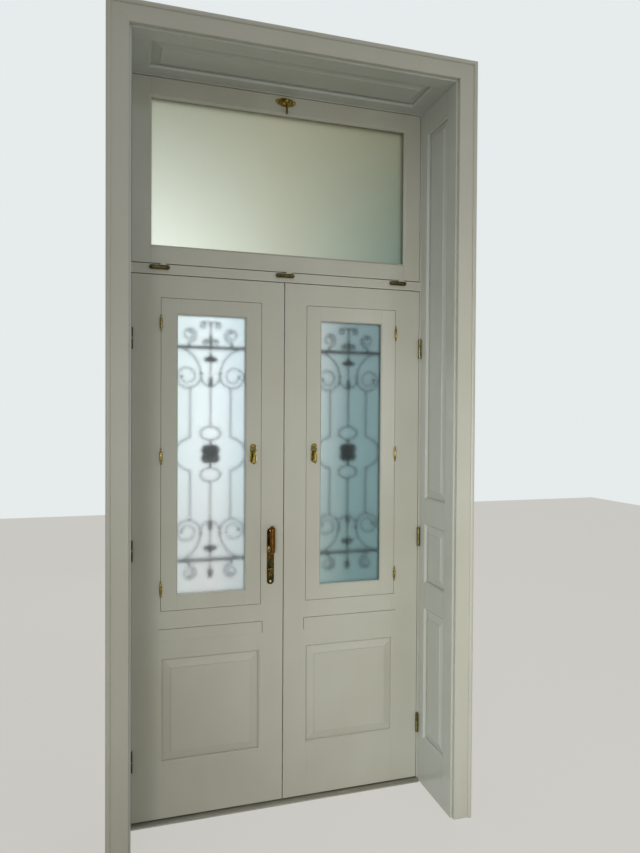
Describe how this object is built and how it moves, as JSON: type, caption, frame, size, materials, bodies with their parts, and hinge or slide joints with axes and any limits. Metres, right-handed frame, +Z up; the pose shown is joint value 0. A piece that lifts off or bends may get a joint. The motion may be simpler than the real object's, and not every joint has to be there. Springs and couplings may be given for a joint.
{
  "type": "french doors",
  "caption": "Pair of panelled french doors with opening glazed casements, wrought-iron grilles, a bottom-hung fanlight, and a deep panelled reveal with its architrave.",
  "frame": {"origin": "floor level, under the threshold, on the line where the leaves meet and in the plane of their room faces", "axes": "+Z up, +Y outwards from the room through the doorway, +X along the wall to the right as seen from the room"},
  "size_m": [1.47, 0.4438, 3.16],
  "materials": {
    "white_enamel": "warm white semi-gloss enamel paint on planed softwood",
    "polished_brass": "polished and lacquered",
    "frosted_glass": "frosted on one face",
    "wrought_iron": "forged and painted dark, satin",
    "lock_steel": "bright zinc plated",
    "grey_metal": "mill finish, worn satin"
  },
  "bodies": {
    "frame": {"threshold": "grey_metal", "left_jamb": "white_enamel", "right_jamb": "white_enamel", "frame_head": "white_enamel", "transom_bar": "white_enamel", "left_reveal_frame": "white_enamel", "right_reveal_frame": "white_enamel", "head_reveal_frame": "white_enamel", "reveal_panels": "white_enamel", "left_architrave": "white_enamel", "right_architrave": "white_enamel", "architrave_head": "white_enamel", "frame_hinge_pins": "polished_brass", "transom_hinge_pins": "polished_brass"},
    "left_leaf": {"left_leaf_hinge_stile": "white_enamel", "left_leaf_meeting_stile": "white_enamel", "left_leaf_rails": "white_enamel", "left_leaf_panel": "white_enamel", "left_leaf_hinge_knuckles": "polished_brass", "left_casement_hinge_pins": "polished_brass", "left_grille": "wrought_iron", "lock_case": "lock_steel", "handle_plate_inside": "polished_brass", "handle_plate_outside": "polished_brass", "lock_cylinder": "polished_brass", "handle_screws": "polished_brass"},
    "right_leaf": {"right_leaf_hinge_stile": "white_enamel", "right_leaf_meeting_stile": "white_enamel", "right_leaf_rails": "white_enamel", "right_leaf_panel": "white_enamel", "right_leaf_hinge_knuckles": "polished_brass", "right_casement_hinge_pins": "polished_brass", "right_grille": "wrought_iron", "strike_plate": "lock_steel", "flush_bolt_plates": "polished_brass"},
    "left_casement": {"left_casement_frame": "white_enamel", "left_casement_beads": "white_enamel", "left_casement_pane": "frosted_glass", "left_casement_hinge_knuckles": "polished_brass", "left_casement_latch_plate": "polished_brass"},
    "right_casement": {"right_casement_frame": "white_enamel", "right_casement_beads": "white_enamel", "right_casement_pane": "frosted_glass", "right_casement_hinge_knuckles": "polished_brass", "right_casement_latch_plate": "polished_brass"},
    "fanlight": {"fanlight_frame": "white_enamel", "fanlight_beads": "white_enamel", "fanlight_pane": "frosted_glass", "fanlight_hinge_knuckles": "polished_brass", "fanlight_latch_plate": "polished_brass"},
    "left_casement_latch": {"left_casement_latch_handle": "polished_brass"},
    "right_casement_latch": {"right_casement_latch_handle": "polished_brass"},
    "fanlight_latch": {"fanlight_latch_handle": "polished_brass"},
    "lever_set": {"lever_inside": "polished_brass", "lever_outside": "polished_brass"},
    "latch_bolt": {"latch_bolt": "lock_steel"},
    "thumb_turn": {"thumb_turn": "polished_brass"},
    "dead_bolt": {"dead_bolt": "lock_steel"},
    "top_flush_bolt": {"top_flush_bolt": "lock_steel"},
    "foot_flush_bolt": {"foot_flush_bolt": "lock_steel"}
  },
  "joints": [
    {"name": "left_leaf_swing", "type": "hinge", "parent": "frame", "child": "left_leaf", "pos_m": [-0.6395, -0.008, 0], "axis": [0, 0, -1], "range_deg": [0, 90]},
    {"name": "right_leaf_swing", "type": "hinge", "parent": "frame", "child": "right_leaf", "pos_m": [0.6395, -0.008, 0], "axis": [0, 0, 1], "range_deg": [0, 90]},
    {"name": "left_casement_swing", "type": "hinge", "parent": "left_leaf", "child": "left_casement", "pos_m": [-0.52125, -0.006, 1.5405], "axis": [0, 0, 1], "range_deg": [-90, 0]},
    {"name": "right_casement_swing", "type": "hinge", "parent": "right_leaf", "child": "right_casement", "pos_m": [0.52125, -0.006, 1.5405], "axis": [0, 0, -1], "range_deg": [-90, 0]},
    {"name": "fanlight_tilt", "type": "hinge", "parent": "frame", "child": "fanlight", "pos_m": [0, -0.009, 2.292], "axis": [1, 0, 0], "range_deg": [0, 45]},
    {"name": "left_casement_latch_turn", "type": "hinge", "parent": "left_casement", "child": "left_casement_latch", "pos_m": [-0.136, 0.017, 1.5405], "axis": [0, -1, 0], "range_deg": [0, 90]},
    {"name": "right_casement_latch_turn", "type": "hinge", "parent": "right_casement", "child": "right_casement_latch", "pos_m": [0.136, 0.017, 1.5405], "axis": [0, 1, 0], "range_deg": [0, 90]},
    {"name": "fanlight_latch_turn", "type": "hinge", "parent": "fanlight", "child": "fanlight_latch", "pos_m": [0, 0.017, 3.037], "axis": [0, 1, 0], "range_deg": [0, 90]},
    {"name": "lever_turn", "type": "hinge", "parent": "left_leaf", "child": "lever_set", "pos_m": [-0.058, 0.0225, 1.112], "axis": [0, -1, 0], "range_deg": [0, 90]},
    {"name": "latch_bolt_slide", "type": "slide", "parent": "left_leaf", "child": "latch_bolt", "axis": [1, 0, 0], "range_m": [0, 0.014]},
    {"name": "thumb_turn_turn", "type": "hinge", "parent": "left_leaf", "child": "thumb_turn", "pos_m": [-0.058, 0, 1.02], "axis": [0, -1, 0], "range_deg": [0, 90]},
    {"name": "dead_bolt_slide", "type": "slide", "parent": "left_leaf", "child": "dead_bolt", "axis": [1, 0, 0], "range_m": [0, 0.018]},
    {"name": "top_bolt_slide", "type": "slide", "parent": "right_leaf", "child": "top_flush_bolt", "axis": [0, 0, 1], "range_m": [0, 0.014]},
    {"name": "foot_bolt_slide", "type": "slide", "parent": "right_leaf", "child": "foot_flush_bolt", "axis": [0, 0, -1], "range_m": [0, 0.01]}
  ],
  "couplings": [
    {"joint": "latch_bolt_slide", "follows": "lever_turn", "m_per_rad": 0.0089127},
    {"joint": "thumb_turn_turn", "follows": "dead_bolt_slide", "rad_per_m": 87.266}
  ]
}
